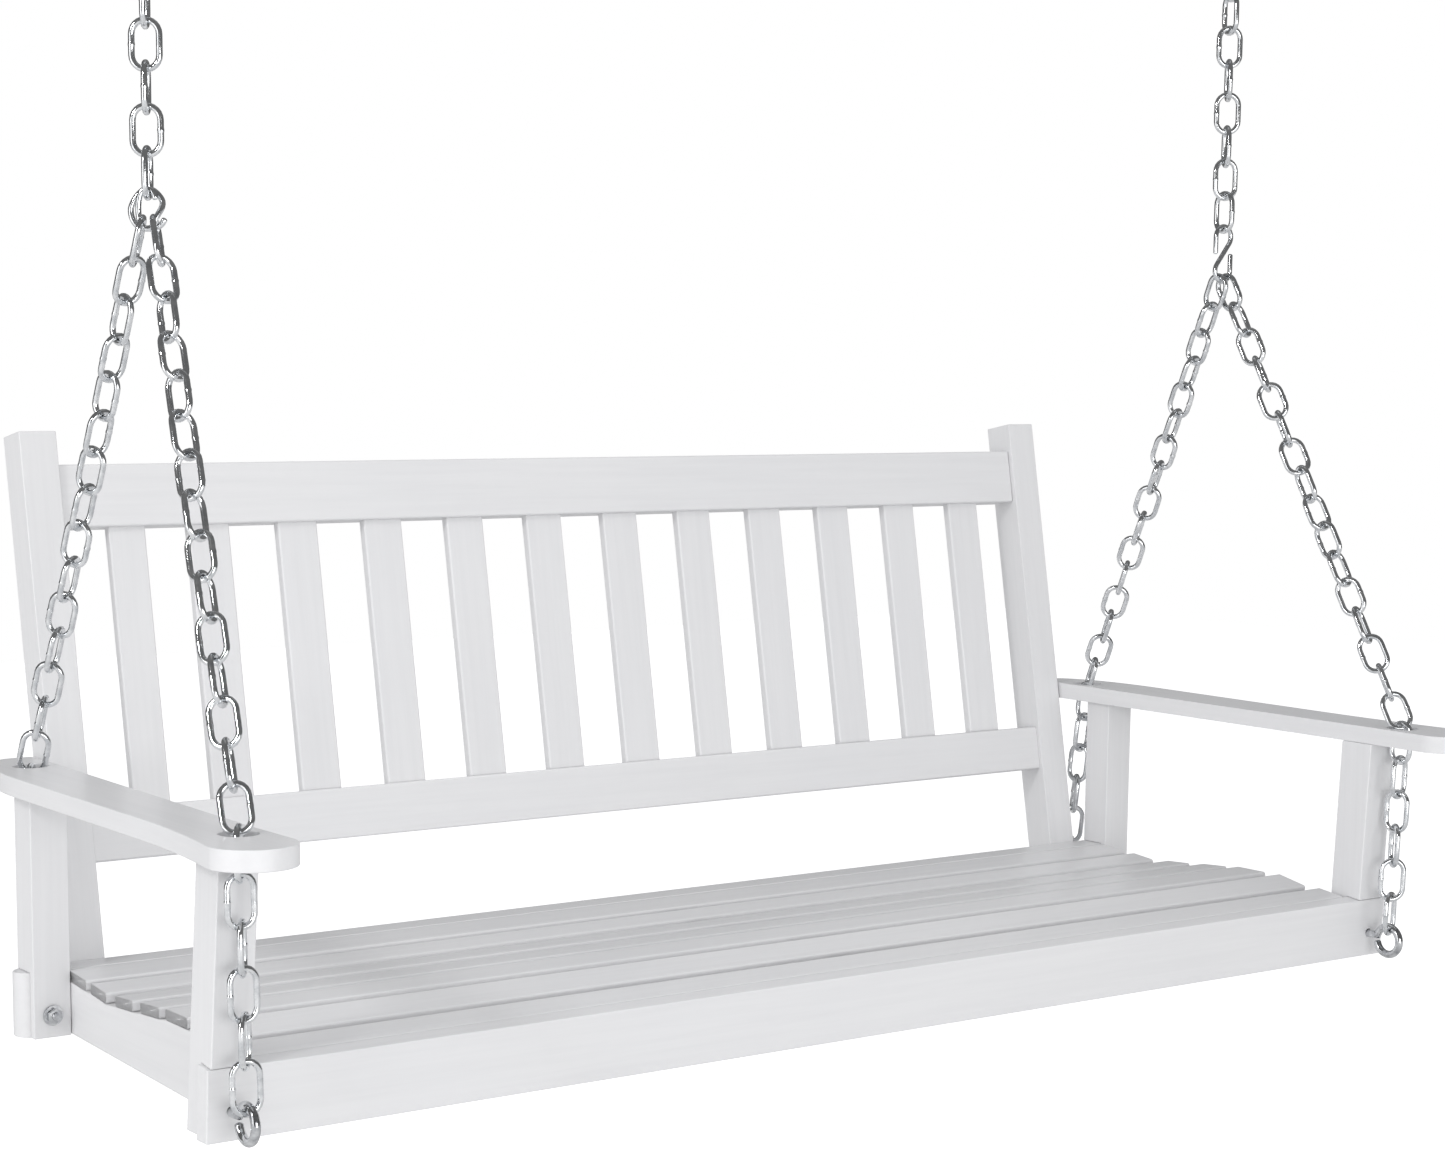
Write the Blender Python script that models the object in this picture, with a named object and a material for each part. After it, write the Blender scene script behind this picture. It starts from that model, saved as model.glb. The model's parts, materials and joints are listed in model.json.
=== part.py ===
"""Porch swing seat: a white slatted bench hung by chains from two ceiling hooks.

Metres, +Z up, +Y to the back, +X to the right end for somebody who stands in front of the bench.
The origin is the centre of the bounding box's bottom face.
"""

import math

import bmesh
import bpy
from mathutils import Matrix, Vector

SIDES = (("left", -1), ("right", 1))
GAP = 0.0003  # clearance between pieces that touch
WELD = 0.00001
FRONT_Y = -0.22073  # the apron's front face at its bottom edge

# Seat frame
APRON_HALF_LENGTH = 0.734
APRON_HEIGHT = 0.0643
APRON_THICKNESS = 0.019
APRON_TOP_RISE = 0.131  # its top slopes on into the first slat
FRONT_LEAN = 0.062  # forward lean of the apron and the front posts, per metre of height
RAIL_BOTTOM = 0.012
RAIL_TOP = 0.075
RAIL_FRONT = FRONT_Y + 0.3975
RAIL_THICKNESS = 0.0305
RAIL_BACK = RAIL_FRONT + RAIL_THICKNESS
RAIL_HALF_LENGTH = 0.7308
SIDE_RAIL_THICKNESS = 0.025
SIDE_RAIL_FRONT_X = 0.6889  # outer face at the apron
SIDE_RAIL_REAR_X = 0.6824  # outer face at the rear rail
BEARER_FRONT = 0.0196  # behind FRONT_Y, clear of the apron
BEARER_FRONT_BOTTOM = 0.0006
BEARER_REAR_BOTTOM = 0.0131

# Seat slats: front and rear top edges as (distance behind FRONT_Y, height)
SLAT_THICKNESS = 0.0105
SEAT_SLATS = (
    ((0.0165, 0.0668), (0.0531, 0.0716)),
    ((0.0708, 0.0710), (0.1118, 0.0791)),
    ((0.1308, 0.0782), (0.1750, 0.0785)),
    ((0.1902, 0.0763), (0.2295, 0.0739)),
    ((0.2483, 0.0717), (0.2856, 0.0696)),
    ((0.3069, 0.0677), (0.3412, 0.0714)),
    ((0.3540, 0.0713), (0.3960, 0.0749)),
)

# Arms and their posts
ARM_THICKNESS = 0.0186
ARM_TOP = 0.2682
ARM_REAR_Y = FRONT_Y + 0.430  # the arms are held at this height here and slope from here
ARM_SLOPE = {"left": 0.0, "right": 0.0165}  # rise towards the back
ARM_NOSE_RADIUS = 0.039
ARM_NOSE = (0.7295, FRONT_Y - 0.0795)
ARM_WAIST = (0.7500, FRONT_Y + 0.120)
ARM_SHOULDER = (0.7440, FRONT_Y + 0.360)
ARM_HEEL = (0.6930, FRONT_Y + 0.503)
ARM_INNER_BEND_Y = FRONT_Y
ARM_CORNER_RADIUS = 0.006
ARM_FLARE_STEPS = 6
ARM_TAPER_STEPS = 16
CHAIN_HOLE_RADIUS = 0.0172
FRONT_HOLE = (0.717, FRONT_Y - 0.033)
REAR_HOLE = (0.697, FRONT_Y + 0.441)
FRONT_POST_WIDTH = 0.0382
FRONT_POST_DEPTH = 0.0415
FRONT_POST_OUTER_X = 0.7287  # at FRONT_POST_PIVOT_Z
FRONT_POST_PIVOT_Z = 0.150
FRONT_POST_INWARD = math.radians(1.21)
FRONT_POST_BOTTOM = 0.0031
FRONT_POST_SETBACK = 0.0005  # its face behind the apron's
POST_TRIM_ALLOWANCE = 0.020  # how far a post runs up before the arm's underside trims it
TRIM_SIZE = (4, 4, 0.2)
REAR_POST_OUTER_X = 0.721
REAR_POST_WIDTH = 0.038
REAR_POST_FRONT = FRONT_Y + 0.3888
REAR_POST_BACK = FRONT_Y + 0.4263

# Back
BACK_ANGLE = math.atan(0.1812)
BACK_FOOT_Y = FRONT_Y + 0.4148  # the back's front plane at height 0
BACK_POST_OUTER_X = 0.668
BACK_POST_WIDTH = 0.039
BACK_POST_THICKNESS = 0.0396
BACK_POST_LENGTH = 0.596
BACK_RAIL_RECESS = 0.005
BACK_RAIL_THICKNESS = 0.029
TOP_RAIL_SPAN = (0.5008, 0.5634)  # along the slope
LOWER_RAIL_SPAN = (0.1693, 0.2219)
BACK_SLAT_COUNT = 12
BACK_SLAT_PITCH = 0.1018
BACK_SLAT_WIDTH = 0.0458
END_SLAT_WIDTH = 0.0400
BACK_SLAT_THICKNESS = 0.0109
BACK_SLAT_RECESS = 0.012
BACK_SLAT_SHIFT = -0.0084  # the row stands a little to the left
END_SLAT_SHIFT = 0.011
TENON = 0.008

# Bolts
BOLT_RADIUS = 0.004
WASHER_RADIUS = 0.010
WASHER_THICKNESS = 0.0018
NUT_RADIUS = 0.0078
NUT_HEIGHT = 0.0053
BOLT_END = 0.0022  # how far a bolt stands out of its nut
ARM_BOLT = (0.702, 0.034)
BACK_BOLT = (0.642, 0.043)
ARM_BOLT_DEPTH = 0.030
BACK_BOLT_DEPTH = 0.050

# Chain and its fittings
LINK_WIRE = 0.0030
LINK_WIDTH = 0.0246  # between the leg centres
LINK_SEAT = 0.0050  # distance between the wire centres of two links that pull on each other
LINK_SPACING = 0.0373
END_CLEAR = 0.0015  # between a chain's end link and the wire that it hangs on
LINK_CLEAR = 0.0018  # the same between two links that turn on each other
CONNECTOR_CLEAR = {"left": 0.0051, "right": 0.0021}  # more at the lap link, whose turns lie deeper
HOOK_Y = FRONT_Y + 0.2145  # the hooks, connectors and upper chains hang in this plane
HOOK_X = 0.672
UPPER_LINKS = 8
ABOVE_ARM_LINKS = {"left": 15, "right": 16}
BELOW_ARM_LINKS = 6
HOLE_BEARING_RISE = {"front": 0.0030, "rear": -0.0030}  # of the bearing at an arm's hole, over its top
TWIST_TO_ARM = {  # degrees over the links above the arm
    ("front", "left"): 55,
    ("rear", "left"): 55,
    ("front", "right"): 145,
    ("rear", "right"): 55,
}
BELOW_ARM_TURNS = {  # degrees of each link below the arm about its chain
    "left": (35, 90, 35, 90, 40, 95),
    "right": (0, 77, -10, 35, 125, 70),
}
UPPER_TWIST = 35
UPPER_TWIST_LINKS = 4  # over which an upper chain takes up its twist
UPPER_CHAIN_END = {"left": 0.7953, "right": 0.8113}  # lowest bearing of each upper chain
CONNECTOR_WIRE = 0.00265
LAP_RING_HEIGHT = 0.0342  # between the wire centres, top to bottom
LAP_RING_WIDTH = 0.0290
LAP_OFFSET = 0.0028  # each turn of the lap link from its middle plane
LAP_START = 30  # degrees
LAP_SWEEP = 660  # two turns, less the opening between its ends
LAP_CROSSING = (330, 390)  # where the wire passes from one turn to the other
S_LOOP_RADIUS = 0.0120
S_LOOP_SPACING = 0.0385
S_TIP_LENGTH = 0.018
FIRST_LINK_OFFSET = {"left": 0.0065, "right": 0.0040}  # two chains hang side by side on a connector
CONNECTOR_TURN = {"left": -35, "right": 0}  # degrees about the vertical, as the upper chain twists
CEILING_HOOK_WIRE = 0.004
CEILING_RING_RADIUS = 0.016
CEILING_PLATE_TOP = 1.192
CEILING_PLATE_SIZE = (0.075, 0.038, 0.005)
CEILING_RING_END = 395  # degrees: the ring runs round from its stem and stops short of itself
SCREW_HOLE_RADIUS = 0.0027
SCREW_HOLE_SPACING = 0.052
SCREW_HOOK_WIRE = 0.0042
SCREW_HOOK_RADIUS = 0.0155
SCREW_HOOK_REACH = 0.031  # ring centre in front of the wood
SCREW_HOOK_Z = 0.0225
SHANK_RISE = 0.004
SHANK_BEND = 0.020  # from the ring's centre to where the shank turns into the ring
SCREW_RING_END = -164  # degrees
SHANK_DEPTH = 0.026
FRONT_HOOK_X = 0.711
REAR_HOOK_X = 0.685

BORE_RUNOUT = 0.010  # how far a bore's cutter runs out of the wood
SIDE_ON = (math.pi / 2, 0, math.pi / 2)  # an outline's x and y become world Y and Z
ALONG_Y = (math.pi / 2, 0, 0)
QUARTER_TURN = math.pi / 2


# ---------------------------------------------------------------- scene and materials


def clear_scene():
    for item in list(bpy.data.objects):
        bpy.data.objects.remove(item)


def new_collection(name):
    collection = bpy.data.collections.new(name)
    bpy.context.scene.collection.children.link(collection)
    return collection


def new_material(name, colour, roughness, metallic):
    material = bpy.data.materials.new(name)
    material.use_nodes = True
    shader = material.node_tree.nodes["Principled BSDF"]
    shader.inputs["Base Color"].default_value = (*colour, 1)
    shader.inputs["Roughness"].default_value = roughness
    shader.inputs["Metallic"].default_value = metallic
    return material


clear_scene()
PARTS = new_collection("porch_swing_seat")
CUTTERS = new_collection("cutters")
WHITE_PAINT = new_material("white_paint", (0.80, 0.80, 0.81), 0.45, 0)
ZINC = new_material("bright_zinc", (0.72, 0.74, 0.77), 0.25, 1)
DARK_ZINC = new_material("dark_zinc", (0.45, 0.46, 0.48), 0.35, 1)


# ---------------------------------------------------------------- shape helpers


def keep(item, material):
    """Puts a finished piece in the object's collection with its material."""
    for collection in list(item.users_collection):
        collection.objects.unlink(item)
    PARTS.objects.link(item)
    item.data.materials.clear()
    item.data.materials.append(material)
    return item


def as_cutter(item):
    for collection in list(item.users_collection):
        collection.objects.unlink(item)
    CUTTERS.objects.link(item)
    item.hide_render = True
    item.display_type = "WIRE"
    return item


def block(name, size, centre, rotation=(0, 0, 0)):
    """A box whose scale is already in its mesh."""
    bpy.ops.mesh.primitive_cube_add(size=1, location=centre, rotation=rotation)
    item = bpy.context.object
    item.name = name
    item.data.transform(Matrix.Diagonal((*size, 1)))
    return item


def rod(name, radius, length, centre, sides=16, rotation=(0, 0, 0)):
    bpy.ops.mesh.primitive_cylinder_add(
        vertices=sides, radius=radius, depth=length, location=centre, rotation=rotation
    )
    item = bpy.context.object
    item.name = name
    return item


def to_mesh(drawn):
    """Replaces a curve object by the closed mesh that it draws."""
    bpy.context.view_layer.update()
    graph = bpy.context.evaluated_depsgraph_get()
    mesh = bpy.data.meshes.new_from_object(drawn.evaluated_get(graph))
    welded = bmesh.new()
    welded.from_mesh(mesh)
    bmesh.ops.remove_doubles(welded, verts=welded.verts, dist=WELD)
    welded.to_mesh(mesh)
    welded.free()
    name = drawn.name
    placed = drawn.matrix_world.copy()
    bpy.data.objects.remove(drawn)
    item = bpy.data.objects.new(name, mesh)
    item.matrix_world = placed
    bpy.context.scene.collection.objects.link(item)
    return item


def add_curve(name, points, cyclic):
    curve = bpy.data.curves.new(name, "CURVE")
    spline = curve.splines.new("POLY")
    spline.points.add(len(points) - 1)
    for control, point in zip(spline.points, points):
        control.co = (*point, 1)
    spline.use_cyclic_u = cyclic
    item = bpy.data.objects.new(name, curve)
    bpy.context.scene.collection.objects.link(item)
    return item


def plate(name, outline, thickness, centre, rotation=(0, 0, 0)):
    """A flat outline with a thickness, centred on its own plane."""
    item = add_curve(name, [(u, v, 0) for u, v in outline], True)
    item.data.dimensions = "2D"
    item.data.fill_mode = "BOTH"
    item.data.extrude = thickness / 2
    item.location = centre
    item.rotation_euler = rotation
    return to_mesh(item)


def wire(name, points, radius, cyclic=False):
    """A round wire along the points, with closed ends."""
    item = add_curve(name, points, cyclic)
    item.data.dimensions = "3D"
    item.data.bevel_depth = radius
    item.data.bevel_resolution = 1
    item.data.use_fill_caps = True
    return to_mesh(item)


def combine(item, other, operation):
    """Adds a Boolean modifier and turns the other object into its operand."""
    modifier = item.modifiers.new(operation.lower() + "_" + other.name, "BOOLEAN")
    modifier.operation = operation
    modifier.solver = "EXACT"
    modifier.object = as_cutter(other)
    return item


def cut(item, other):
    return combine(item, other, "DIFFERENCE")


def join(item, other):
    return combine(item, other, "UNION")


def arc(centre, radius, start, end, steps):
    """Points on a circle from one angle to another, in degrees."""
    angles = [math.radians(start + (end - start) * step / steps) for step in range(steps + 1)]
    return [(centre[0] + radius * math.cos(a), centre[1] + radius * math.sin(a)) for a in angles]


def back_point(x, along, depth):
    """A point on the leaning back: along its slope from the foot, and behind its front plane."""
    return Vector((
        x,
        BACK_FOOT_Y + along * math.sin(BACK_ANGLE) + depth * math.cos(BACK_ANGLE),
        along * math.cos(BACK_ANGLE) - depth * math.sin(BACK_ANGLE),
    ))


# ---------------------------------------------------------------- seat


def apron_outline(grow):
    """The apron's section: it leans forward, and its top slopes on into the first slat."""
    low = (0 - grow, 0 - grow)
    front = (low[0] - FRONT_LEAN * (APRON_HEIGHT + 2 * grow), APRON_HEIGHT + grow)
    rear = (front[0] + APRON_THICKNESS + 2 * grow, front[1] + APRON_TOP_RISE * APRON_THICKNESS)
    back = (low[0] + APRON_THICKNESS + 2 * grow, low[1])
    return [low, back, rear, front]


def make_apron():
    shape = plate("front_apron", apron_outline(0), 2 * APRON_HALF_LENGTH, (0, FRONT_Y, 0), SIDE_ON)
    return keep(shape, WHITE_PAINT)


def cut_by_apron(item):
    cutter = plate(
        item.name + "_notch", apron_outline(GAP), 2 * APRON_HALF_LENGTH, (0, FRONT_Y, 0), SIDE_ON
    )
    return cut(item, cutter)


def make_rear_rail():
    radius = RAIL_THICKNESS / 2
    middle = RAIL_HALF_LENGTH - radius
    outline = arc((middle, 0), radius, -90, 90, 8) + arc((-middle, 0), radius, 90, 270, 8)
    centre = (0, RAIL_FRONT + radius, (RAIL_TOP + RAIL_BOTTOM) / 2)
    return keep(plate("rear_rail", outline, RAIL_TOP - RAIL_BOTTOM, centre), WHITE_PAINT)


def slat_line(slat):
    """A slat's front top edge, its length along the section, and its slope."""
    (front_y, front_z), (rear_y, rear_z) = slat
    run = Vector((rear_y - front_y, rear_z - front_z))
    return Vector((front_y, front_z)), run.length, math.atan2(run.y, run.x)


def bearer_outline():
    """A seat bearer's side view: a straight bottom, and a top that carries each slat."""
    rear = RAIL_FRONT - FRONT_Y - 2 * GAP
    top = []
    for slat in SEAT_SLATS:
        front, width, slope = slat_line(slat)
        along = Vector((math.cos(slope), math.sin(slope)))
        under = Vector((math.sin(slope), -math.cos(slope))) * (SLAT_THICKNESS + GAP)
        top += [front + under, front + along * width + under]
    bottom = [(BEARER_FRONT, BEARER_FRONT_BOTTOM), (rear, BEARER_REAR_BOTTOM)]
    front_top = (BEARER_FRONT - FRONT_LEAN * top[0].y, top[0].y)
    rear_top = (rear, top[-1].y)
    inner = [tuple(point) for point in top[1:-1]]
    return bottom + [rear_top] + inner[::-1] + [front_top]


def make_side_rail(side, sign):
    length = RAIL_FRONT - FRONT_Y
    toe_in = math.atan((SIDE_RAIL_FRONT_X - SIDE_RAIL_REAR_X) / length)
    outer = Matrix.Translation((sign * SIDE_RAIL_FRONT_X, FRONT_Y, 0))
    turn = Matrix.Rotation(sign * toe_in, 4, "Z")
    inset = Matrix.Translation((-sign * SIDE_RAIL_THICKNESS / 2, 0, 0))
    shape = plate(f"side_rail_{side}", bearer_outline(), SIDE_RAIL_THICKNESS, (0, 0, 0), SIDE_ON)
    shape.matrix_world = outer @ turn @ inset @ shape.matrix_world
    return keep(shape, WHITE_PAINT)


def make_centre_bearer():
    shape = plate("centre_bearer", bearer_outline(), SIDE_RAIL_THICKNESS, (0, FRONT_Y, 0), SIDE_ON)
    return keep(shape, WHITE_PAINT)


def make_seat_slats():
    slats = []
    length = RAIL_FRONT - FRONT_Y
    for number, slat in enumerate(SEAT_SLATS, start=1):
        front, width, slope = slat_line(slat)
        middle_y = front.x + width / 2
        share = min(middle_y / length, 1)
        half = SIDE_RAIL_FRONT_X + (SIDE_RAIL_REAR_X - SIDE_RAIL_FRONT_X) * share - GAP
        if number == len(SEAT_SLATS):
            half = REAR_POST_OUTER_X - REAR_POST_WIDTH - 2 * GAP
        along = Vector((0, math.cos(slope), math.sin(slope)))
        under = Vector((0, math.sin(slope), -math.cos(slope)))
        corner = Vector((0, FRONT_Y + front.x, front.y))
        centre = corner + along * width / 2 + under * SLAT_THICKNESS / 2
        size = (2 * half, width, SLAT_THICKNESS)
        shape = block(f"seat_slat_{number}", size, centre, (slope, 0, 0))
        slats.append(keep(shape, WHITE_PAINT))
    return slats


# ---------------------------------------------------------------- arms and posts


def arm_height(side, y):
    return ARM_TOP - ARM_SLOPE[side] * (ARM_REAR_Y - y)


def arm_outline():
    """The arm seen from above for +X: a round nose, a flared outer edge and a tapered rear end."""
    nose_x, nose_y = ARM_NOSE
    tip_x = nose_x + ARM_NOSE_RADIUS
    nose = arc(ARM_NOSE, ARM_NOSE_RADIUS, 180, 360, 24)
    flare = []
    for step in range(1, ARM_FLARE_STEPS):
        share = step / ARM_FLARE_STEPS
        ease = 1 - (1 - share) ** 2
        flare.append((tip_x + (ARM_WAIST[0] - tip_x) * ease, nose_y + (ARM_WAIST[1] - nose_y) * share))
    taper = []
    for step in range(ARM_TAPER_STEPS + 1):
        angle = math.radians(90 * step / ARM_TAPER_STEPS)
        x = ARM_HEEL[0] + (ARM_SHOULDER[0] - ARM_HEEL[0]) * math.cos(angle)
        taper.append((x, ARM_SHOULDER[1] + (ARM_HEEL[1] - ARM_SHOULDER[1]) * math.sin(angle)))
    corner_x = BACK_POST_OUTER_X + 2 * GAP + ARM_CORNER_RADIUS
    corner = arc((corner_x, ARM_HEEL[1] - ARM_CORNER_RADIUS), ARM_CORNER_RADIUS, 90, 180, 3)
    inner = [(nose_x - ARM_NOSE_RADIUS, ARM_INNER_BEND_Y)]
    return nose + flare + [ARM_WAIST] + taper + corner + inner


def arm_frame(side):
    """Places a level slab's middle plane at the arm's height and slope."""
    rise = math.atan(ARM_SLOPE[side])
    lift = Matrix.Translation((0, ARM_REAR_Y, ARM_TOP - ARM_THICKNESS / 2))
    return lift @ Matrix.Rotation(rise, 4, "X") @ Matrix.Translation((0, -ARM_REAR_Y, 0))


def make_arm(side, sign):
    outline = [(sign * x, y) for x, y in arm_outline()]
    if sign < 0:
        outline.reverse()
    arm = plate(f"arm_{side}", outline, ARM_THICKNESS, (0, 0, 0))
    arm.matrix_world = arm_frame(side)
    for end, (x, y) in (("front", FRONT_HOLE), ("rear", REAR_HOLE)):
        hole = rod(f"{end}_hole_{side}", CHAIN_HOLE_RADIUS, 3 * ARM_THICKNESS, (0, 0, 0), 32)
        hole.matrix_world = arm_frame(side) @ Matrix.Translation((sign * x, y, 0))
        cut(arm, hole)
    return keep(arm, WHITE_PAINT)


def cut_under_arm(item, side):
    """Trims the top of a post along the arm's underside."""
    lowest = -ARM_THICKNESS / 2 - GAP
    trim = block(item.name + "_trim", TRIM_SIZE, (0, 0, 0))
    trim.matrix_world = arm_frame(side) @ Matrix.Translation((0, 0, lowest + TRIM_SIZE[2] / 2))
    return cut(item, trim)


def make_front_post(side, sign):
    """The front post leans forward and inward, and is notched over the apron."""
    reach = ARM_TOP + POST_TRIM_ALLOWANCE
    outline = []
    for y, z in (
        (0, FRONT_POST_BOTTOM),
        (FRONT_POST_DEPTH, FRONT_POST_BOTTOM),
        (FRONT_POST_DEPTH, reach),
        (0, reach),
    ):
        outline.append((y - FRONT_LEAN * z + FRONT_POST_SETBACK, z - FRONT_POST_PIVOT_Z))
    centre_x = sign * (FRONT_POST_OUTER_X - FRONT_POST_WIDTH / 2)
    centre = (centre_x, FRONT_Y, FRONT_POST_PIVOT_Z)
    post = plate(f"front_post_{side}", outline, FRONT_POST_WIDTH, (0, 0, 0), SIDE_ON)
    lean = Matrix.Rotation(-sign * FRONT_POST_INWARD, 4, "Y")
    post.matrix_world = Matrix.Translation(centre) @ lean @ post.matrix_world
    cut_by_apron(post)
    cut_under_arm(post, side)
    return keep(post, WHITE_PAINT)


def make_rear_arm_post(side, sign):
    """The rear arm post is half-lapped over the front of the rear rail."""
    front = REAR_POST_FRONT
    tongue = RAIL_FRONT - GAP
    shoulder = RAIL_TOP + GAP
    reach = ARM_TOP + POST_TRIM_ALLOWANCE
    outline = [
        (front, RAIL_BOTTOM),
        (tongue, RAIL_BOTTOM),
        (tongue, shoulder),
        (REAR_POST_BACK, shoulder),
        (REAR_POST_BACK, reach),
        (front, reach),
    ]
    centre = (sign * (REAR_POST_OUTER_X - REAR_POST_WIDTH / 2), 0, 0)
    post = plate(f"rear_arm_post_{side}", outline, REAR_POST_WIDTH, centre, SIDE_ON)
    cut_under_arm(post, side)
    return keep(post, WHITE_PAINT)


# ---------------------------------------------------------------- back


def make_back_post(side, sign):
    """The back post leans back, and its foot is lapped behind the rear rail."""
    front_top = back_point(0, BACK_POST_LENGTH, 0)
    back_top = back_point(0, BACK_POST_LENGTH, BACK_POST_THICKNESS)
    lap_y = RAIL_BACK + GAP
    lap_z = (lap_y - BACK_FOOT_Y) / math.tan(BACK_ANGLE)
    foot_back_y = back_top.y - (back_top.z - RAIL_BOTTOM) * math.tan(BACK_ANGLE)
    outline = [
        (lap_y, RAIL_BOTTOM),
        (foot_back_y, RAIL_BOTTOM),
        (back_top.y, back_top.z),
        (front_top.y, front_top.z),
        (lap_y, lap_z),
    ]
    centre = (sign * (BACK_POST_OUTER_X - BACK_POST_WIDTH / 2), 0, 0)
    post = plate(f"back_post_{side}", outline, BACK_POST_WIDTH, centre, SIDE_ON)
    return keep(post, WHITE_PAINT)


def slat_places():
    """Centre and width of each back slat; the one at the left end is narrower and nearer."""
    first = BACK_SLAT_SHIFT - BACK_SLAT_PITCH * (BACK_SLAT_COUNT - 1) / 2
    places = [(first + END_SLAT_SHIFT, END_SLAT_WIDTH)]
    for number in range(1, BACK_SLAT_COUNT):
        places.append((first + BACK_SLAT_PITCH * number, BACK_SLAT_WIDTH))
    return places


def back_block(name, span, depths, half_width, x=0.0):
    """A block in the leaning back, between two slope distances and two depths."""
    size = (2 * half_width, depths[1] - depths[0], span[1] - span[0])
    centre = back_point(x, (span[0] + span[1]) / 2, (depths[0] + depths[1]) / 2)
    return block(name, size, centre, (-BACK_ANGLE, 0, 0))


def make_back_rails():
    half = BACK_POST_OUTER_X - BACK_POST_WIDTH - GAP
    depths = (BACK_RAIL_RECESS, BACK_RAIL_RECESS + BACK_RAIL_THICKNESS)
    rails = []
    slat_span = (LOWER_RAIL_SPAN[1] - TENON - GAP, TOP_RAIL_SPAN[0] + TENON + GAP)
    slat_depths = (BACK_SLAT_RECESS - GAP, BACK_SLAT_RECESS + BACK_SLAT_THICKNESS + GAP)
    for name, span in (("top_rail", TOP_RAIL_SPAN), ("lower_back_rail", LOWER_RAIL_SPAN)):
        rail = back_block(name, span, depths, half)
        for number, (x, width) in enumerate(slat_places(), start=1):
            mortise = back_block(
                f"{name}_mortise_{number}", slat_span, slat_depths, width / 2 + GAP, x
            )
            cut(rail, mortise)
        rails.append(keep(rail, WHITE_PAINT))
    return rails


def make_back_slats():
    span = (LOWER_RAIL_SPAN[1] - TENON, TOP_RAIL_SPAN[0] + TENON)
    depths = (BACK_SLAT_RECESS, BACK_SLAT_RECESS + BACK_SLAT_THICKNESS)
    slats = []
    for number, (x, width) in enumerate(slat_places(), start=1):
        slat = back_block(f"back_slat_{number:02d}", span, depths, width / 2, x)
        slats.append(keep(slat, WHITE_PAINT))
    return slats


# ---------------------------------------------------------------- bolts


def make_bolt(name, x, z, face_y, depth, pieces):
    """A bolt through the given pieces towards the back, with its washer and nut at the front."""
    tip_y = face_y + depth
    washer_front = face_y - GAP - WASHER_THICKNESS
    nut_y = washer_front - NUT_HEIGHT / 2 + GAP
    front_y = washer_front - NUT_HEIGHT - BOLT_END
    bolt = rod(name, BOLT_RADIUS, tip_y - front_y, (x, (tip_y + front_y) / 2, z), 12, ALONG_Y)
    washer_centre = (x, washer_front + WASHER_THICKNESS / 2, z)
    join(bolt, rod(name + "_washer", WASHER_RADIUS, WASHER_THICKNESS, washer_centre, 20, ALONG_Y))
    join(bolt, rod(name + "_nut", NUT_RADIUS, NUT_HEIGHT, (x, nut_y, z), 6, ALONG_Y))
    for piece in pieces:
        bore_length = depth + BORE_RUNOUT
        centre = (x, tip_y + GAP - bore_length / 2, z)
        cut(piece, rod(f"{name}_bore_{piece.name}", BOLT_RADIUS + GAP, bore_length, centre, 12, ALONG_Y))
    return keep(bolt, DARK_ZINC)


# ---------------------------------------------------------------- chain and fittings


def link_outline(inner_length):
    """An eight-cornered stretched ring around the wire's centre line, long way along X."""
    radius = LINK_WIDTH / 2
    half_leg = (inner_length + LINK_SEAT) / 2 - radius
    corner = radius / math.cos(math.radians(22.5))
    right = arc((half_leg, 0), corner, -67.5, 67.5, 3)
    left = arc((-half_leg, 0), corner, 112.5, 247.5, 3)
    return [(x, y, 0) for x, y in right + left]


def link_frame(start, end, roll):
    """Where a link lies that pulls from start to end; at roll 0 its plane holds the Y axis."""
    along = (end - start).normalized()
    width = Matrix.Rotation(roll, 3, along) @ along.cross(Vector((1, 0, 0))).normalized()
    frame = Matrix((along, width, along.cross(width))).transposed().to_4x4()
    return Matrix.Translation((start + end) / 2) @ frame


def spaced(start, end, count):
    return [start.lerp(end, number / count) for number in range(count + 1)]


def make_chain(name, bearings, rolls):
    """One solid chain: every second link joined with those between them."""
    groups = (bmesh.new(), bmesh.new())
    for number, (start, end, roll) in enumerate(zip(bearings, bearings[1:], rolls)):
        link = wire("link", link_outline((end - start).length), LINK_WIRE, True)
        link.data.transform(link_frame(start, end, roll))
        groups[number % 2].from_mesh(link.data)
        bpy.data.objects.remove(link)
    items = []
    for suffix, group in zip(("", "_between"), groups):
        mesh = bpy.data.meshes.new(name + suffix)
        group.to_mesh(mesh)
        group.free()
        items.append(bpy.data.objects.new(name + suffix, mesh))
        bpy.context.scene.collection.objects.link(items[-1])
    if len(bearings) > 2:
        join(items[0], items[1])
    else:
        bpy.data.objects.remove(items[1])
    return keep(items[0], ZINC)


def upper_bearings(side, sign):
    """Bearing points of an upper chain, from the top link down to the connector."""
    low = Vector((sign * HOOK_X, HOOK_Y, UPPER_CHAIN_END[side]))
    rise = Vector((0, 0, UPPER_LINKS * LINK_SPACING))
    return spaced(low + rise, low, UPPER_LINKS)


def upper_rolls(side):
    """An upper chain turns a little from its top link; the one on the S-hook turns back again."""
    rolls = []
    for number in range(UPPER_LINKS):
        share = min((number + 1) / UPPER_TWIST_LINKS, 1)
        if side == "right":
            share = min(share, (UPPER_LINKS - 1 - number) / 2)
        rolls.append(QUARTER_TURN * (number + 1) + math.radians(UPPER_TWIST) * share)
    return rolls


def ceiling_wire(side, sign):
    """Centre of the ceiling hook's lowest wire, on which the top link hangs."""
    top = upper_bearings(side, sign)[0] + Vector((0, 0, LINK_SPACING))
    return top - Vector((0, 0, CEILING_HOOK_WIRE + END_CLEAR))


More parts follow.
